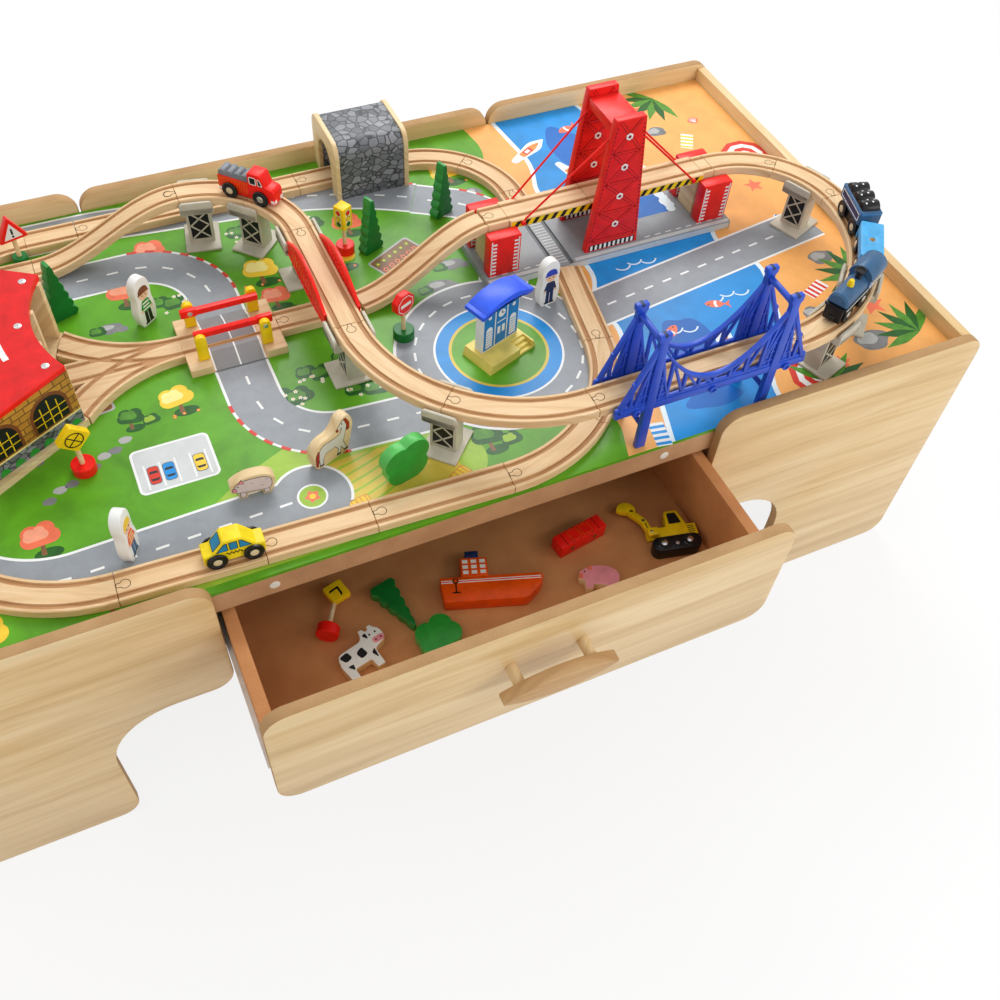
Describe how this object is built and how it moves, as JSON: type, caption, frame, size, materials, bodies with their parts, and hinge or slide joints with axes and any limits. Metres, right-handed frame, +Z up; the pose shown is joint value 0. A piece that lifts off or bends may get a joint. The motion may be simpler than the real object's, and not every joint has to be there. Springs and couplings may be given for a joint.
{
  "type": "train table",
  "caption": "Low wooden train table with a pull-out drawer, carrying a laid toy railway with ramps, bridges, a tunnel, an engine shed, vehicles and signs.",
  "frame": {"origin": "On the floor, under the middle of the box that holds the whole part with its drawer open as at rest.", "axes": "+X along the table's length to the right as seen from the drawer side, +Y from the drawer side to the back, +Z up."},
  "size_m": [1.46, 0.933, 0.627],
  "materials": {
    "pale_panel": "satin laminate",
    "brown_board": "matt fibreboard",
    "printed_board": "satin printed board",
    "beech": "sanded beech",
    "white_metal": "white enamel",
    "white_plastic": "gloss",
    "blue_plastic": "semi gloss",
    "grey_plastic": "matt",
    "red_paint": "satin paint",
    "yellow_paint": "satin paint",
    "steel_blue_paint": "satin paint",
    "light_blue_paint": "satin paint",
    "grey_print": "printed board",
    "stone_print": "printed board",
    "toy_print": "printed and painted wood",
    "black_wheel": "gloss"
  },
  "bodies": {
    "table": {"play_board": "printed_board", "board_rails": "brown_board", "front_left_panel": "pale_panel", "front_right_panel": "pale_panel", "back_left_panel": "pale_panel", "back_right_panel": "pale_panel", "back_centre_panel": "pale_panel", "end_rails": "pale_panel", "drawer_cheeks": "brown_board", "runner_channels": "white_metal", "screw_caps": "white_plastic", "straight_tracks": "beech", "curved_tracks": "beech", "ramp_tracks": "beech", "shed_turnout": "beech", "branch_turnout": "beech", "crossing_block": "beech", "crossing_posts": "yellow_paint", "track_pillars": "grey_plastic", "arch_bridge_sides": "red_paint", "suspension_bridge": "blue_plastic", "lift_bridge_deck": "beech", "lift_bridge_piers": "beech", "lift_bridge_towers": "red_paint", "lift_bridge_stays": "red_paint", "quay_base": "grey_print", "shed_walls": "toy_print", "shed_roof": "red_paint", "stone_tunnel": "stone_print", "kiosk": "toy_print", "trees": "toy_print", "signs": "toy_print", "figures": "toy_print", "loco_body": "steel_blue_paint", "flat_wagon_body": "light_blue_paint", "coal_wagon_body": "steel_blue_paint", "truck_body": "red_paint"},
    "drawer": {"drawer_front": "pale_panel", "drawer_sides": "brown_board", "drawer_back": "brown_board", "drawer_bottom": "brown_board", "handle_bar": "pale_panel", "handle_posts": "beech", "drawer_runners": "white_metal", "drawer_toys": "toy_print", "excavator_body": "yellow_paint"},
    "excavator_arm": {"excavator_arm": "yellow_paint"},
    "gate_near": {"gate_bar_near": "red_paint"},
    "gate_far": {"gate_bar_far": "red_paint"},
    "taxi": {"taxi_body": "yellow_paint"},
    "loco_front_wheels": {"loco_front_wheels": "black_wheel"},
    "loco_rear_wheels": {"loco_rear_wheels": "black_wheel"},
    "flat_wagon_front_wheels": {"flat_wagon_front_wheels": "black_wheel"},
    "flat_wagon_rear_wheels": {"flat_wagon_rear_wheels": "black_wheel"},
    "coal_wagon_wheels_front": {"coal_wagon_wheels_front": "black_wheel"},
    "coal_wagon_wheels_rear": {"coal_wagon_wheels_rear": "black_wheel"},
    "truck_wheels_front": {"truck_wheels_front": "black_wheel"},
    "truck_wheels_rear": {"truck_wheels_rear": "black_wheel"},
    "taxi_wheels_front": {"taxi_wheels_front": "black_wheel"},
    "taxi_wheels_rear": {"taxi_wheels_rear": "black_wheel"}
  },
  "joints": [
    {"name": "drawer_slide", "type": "slide", "parent": "table", "child": "drawer", "axis": [0, -1, 0], "range_m": [-0.1665, 0.2]},
    {"name": "excavator_arm_swing", "type": "hinge", "parent": "drawer", "child": "excavator_arm", "pos_m": [0.23425, -0.27706, 0.27], "axis": [0, 0, 1], "range_deg": [-30, 30]},
    {"name": "gate_near_lift", "type": "hinge", "parent": "table", "child": "gate_near", "pos_m": [-0.1515, 0.1025, 0.453], "axis": [0, 1, 0], "range_deg": [0, 80]},
    {"name": "gate_far_lift", "type": "hinge", "parent": "table", "child": "gate_far", "pos_m": [-0.2335, 0.1455, 0.453], "axis": [0, -1, 0], "range_deg": [0, 80]},
    {"name": "taxi_roll", "type": "slide", "parent": "table", "child": "taxi", "axis": [0.9991, -0.0419, 0], "range_m": [-0.06, 0.25]},
    {"name": "loco_front_axle_spin", "type": "hinge", "parent": "table", "child": "loco_front_wheels", "pos_m": [0.51094, -0.19199, 0.5013], "axis": [-0.4337, 0.9011, 0], "continuous": true},
    {"name": "loco_rear_axle_spin", "type": "hinge", "parent": "table", "child": "loco_rear_wheels", "pos_m": [0.54698, -0.17464, 0.5013], "axis": [-0.4337, 0.9011, 0], "continuous": true},
    {"name": "flat_wagon_front_axle_spin", "type": "hinge", "parent": "table", "child": "flat_wagon_front_wheels", "pos_m": [0.59684, -0.13376, 0.5013], "axis": [-0.7986, 0.6018, 0], "continuous": true},
    {"name": "flat_wagon_rear_axle_spin", "type": "hinge", "parent": "table", "child": "flat_wagon_rear_wheels", "pos_m": [0.62092, -0.10181, 0.5013], "axis": [-0.7986, 0.6018, 0], "continuous": true},
    {"name": "coal_wagon_front_axle_spin", "type": "hinge", "parent": "table", "child": "coal_wagon_wheels_front", "pos_m": [0.63898, -0.06558, 0.5013], "axis": [-0.9613, 0.2756, 0], "continuous": true},
    {"name": "coal_wagon_rear_axle_spin", "type": "hinge", "parent": "table", "child": "coal_wagon_wheels_rear", "pos_m": [0.65, -0.02713, 0.5013], "axis": [-0.9613, 0.2756, 0], "continuous": true},
    {"name": "truck_front_axle_spin", "type": "hinge", "parent": "table", "child": "truck_wheels_front", "pos_m": [-0.08811, 0.27921, 0.5013], "axis": [0.7193, 0.6947, 0], "continuous": true},
    {"name": "truck_rear_axle_spin", "type": "hinge", "parent": "table", "child": "truck_wheels_rear", "pos_m": [-0.12007, 0.3123, 0.5013], "axis": [0.7193, 0.6947, 0], "continuous": true},
    {"name": "taxi_front_axle_spin", "type": "hinge", "parent": "taxi", "child": "taxi_wheels_front", "pos_m": [-0.30089, -0.20798, 0.4313], "axis": [0.0419, 0.9991, 0], "continuous": true},
    {"name": "taxi_rear_axle_spin", "type": "hinge", "parent": "taxi", "child": "taxi_wheels_rear", "pos_m": [-0.26092, -0.20966, 0.4313], "axis": [0.0419, 0.9991, 0], "continuous": true}
  ],
  "couplings": [
    {"joint": "taxi_front_axle_spin", "follows": "taxi_roll", "rad_per_m": 86.957},
    {"joint": "taxi_rear_axle_spin", "follows": "taxi_roll", "rad_per_m": 86.957}
  ]
}
